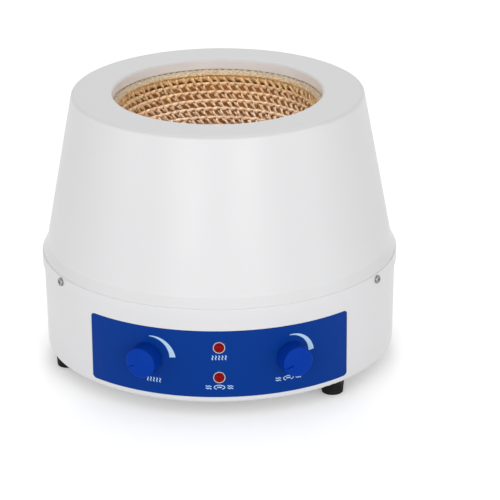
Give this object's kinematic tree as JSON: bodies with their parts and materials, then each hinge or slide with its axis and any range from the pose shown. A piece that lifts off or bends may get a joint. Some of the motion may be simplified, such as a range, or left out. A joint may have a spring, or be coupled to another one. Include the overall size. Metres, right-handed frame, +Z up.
{
  "type": "heating mantle",
  "caption": "Round bench heater with a woven hemispherical nest for a two-litre round-bottomed flask, a magnetic stirrer under the nest, dials and lamps on a bowed panel, and rubber feet.",
  "frame": {"origin": "on the body's vertical axis, in the plane that the feet stand on", "axes": "+Z up along the flask collar's axis, out of its mouth; -Y towards the control panel; +X to the right of someone who faces the panel"},
  "size_m": [0.3, 0.3082, 0.231],
  "materials": {
    "housing_plastic": "fine satin",
    "panel_film": "satin",
    "knob_plastic": "satin",
    "lens_plastic": "polished",
    "bezel_chrome": "polished",
    "nest_fabric": "woven",
    "hem_fabric": "woven",
    "insulation_wool": "fibrous",
    "element_steel": "dull",
    "bowl_metal": "spun",
    "fastener_steel": "nickel plated",
    "foot_rubber": "matt",
    "plate_steel": "satin",
    "motor_steel": "satin",
    "bearing_brass": "turned",
    "shaft_steel": "ground",
    "arm_metal": "milled",
    "magnet_ceramic": "matt",
    "pot_metal": "cast",
    "inlet_plastic": "moulded",
    "pin_brass": "plated",
    "fuse_glass": "clear",
    "board_laminate": "satin",
    "sink_metal": "extruded",
    "capacitor_sleeve": "satin"
  },
  "bodies": {
    "housing": {"upper_shell": "housing_plastic", "lower_shell": "housing_plastic", "control_panel": "panel_film", "heat_lamp_lens": "lens_plastic", "stir_lamp_lens": "lens_plastic", "heat_lamp_bezel": "bezel_chrome", "stir_lamp_bezel": "bezel_chrome", "heating_nest": "nest_fabric", "nest_hem": "hem_fabric", "insulation_bowl": "insulation_wool", "heating_element": "element_steel", "inner_bowl": "bowl_metal", "shell_screws": "fastener_steel", "foot_screws": "fastener_steel", "foot_nuts": "fastener_steel", "bowl_screws": "fastener_steel", "bracket_screws": "fastener_steel", "motor_screws": "fastener_steel", "inlet_screws": "fastener_steel", "inlet_nuts": "fastener_steel", "board_screws": "fastener_steel", "heat_pot_nut": "fastener_steel", "stir_pot_nut": "fastener_steel", "heat_lamp_nut": "fastener_steel", "stir_lamp_nut": "fastener_steel", "board_standoffs": "fastener_steel", "foot_front": "foot_rubber", "foot_left": "foot_rubber", "foot_rear": "foot_rubber", "bottom_plate": "plate_steel", "motor_bracket": "plate_steel", "motor_can": "motor_steel", "motor_bearing": "bearing_brass", "heat_pot": "pot_metal", "stir_pot": "pot_metal", "mains_inlet": "inlet_plastic", "terminal_block": "inlet_plastic", "triac": "inlet_plastic", "heat_lamp_body": "inlet_plastic", "stir_lamp_body": "inlet_plastic", "inlet_pins": "pin_brass", "control_board": "board_laminate", "heat_sink": "sink_metal", "capacitor": "capacitor_sleeve"},
    "heat_dial": {"heat_knob": "knob_plastic", "heat_shaft": "shaft_steel"},
    "stir_dial": {"stir_knob": "knob_plastic", "stir_shaft": "shaft_steel"},
    "stirrer": {"arm_screw": "fastener_steel", "motor_shaft": "shaft_steel", "magnet_arm": "arm_metal", "stir_magnets": "magnet_ceramic"},
    "drawer": {"fuse_drawer": "inlet_plastic", "fuse": "fuse_glass"}
  },
  "joints": [
    {"name": "heat_turn", "type": "hinge", "parent": "housing", "child": "heat_dial", "pos_m": [0, 0, 0.0489], "axis": [0.3939, 0.9191, 0], "range_deg": [0, 270]},
    {"name": "stir_turn", "type": "hinge", "parent": "housing", "child": "stir_dial", "pos_m": [0, 0, 0.0489], "axis": [-0.3939, 0.9191, 0], "range_deg": [0, 270]},
    {"name": "stirrer_spin", "type": "hinge", "parent": "housing", "child": "stirrer", "pos_m": [0, 0, 0.1], "axis": [0, 0, 1], "continuous": true},
    {"name": "drawer_pull", "type": "slide", "parent": "housing", "child": "drawer", "axis": [0, 1, 0], "range_m": [0, 0.022]}
  ]
}
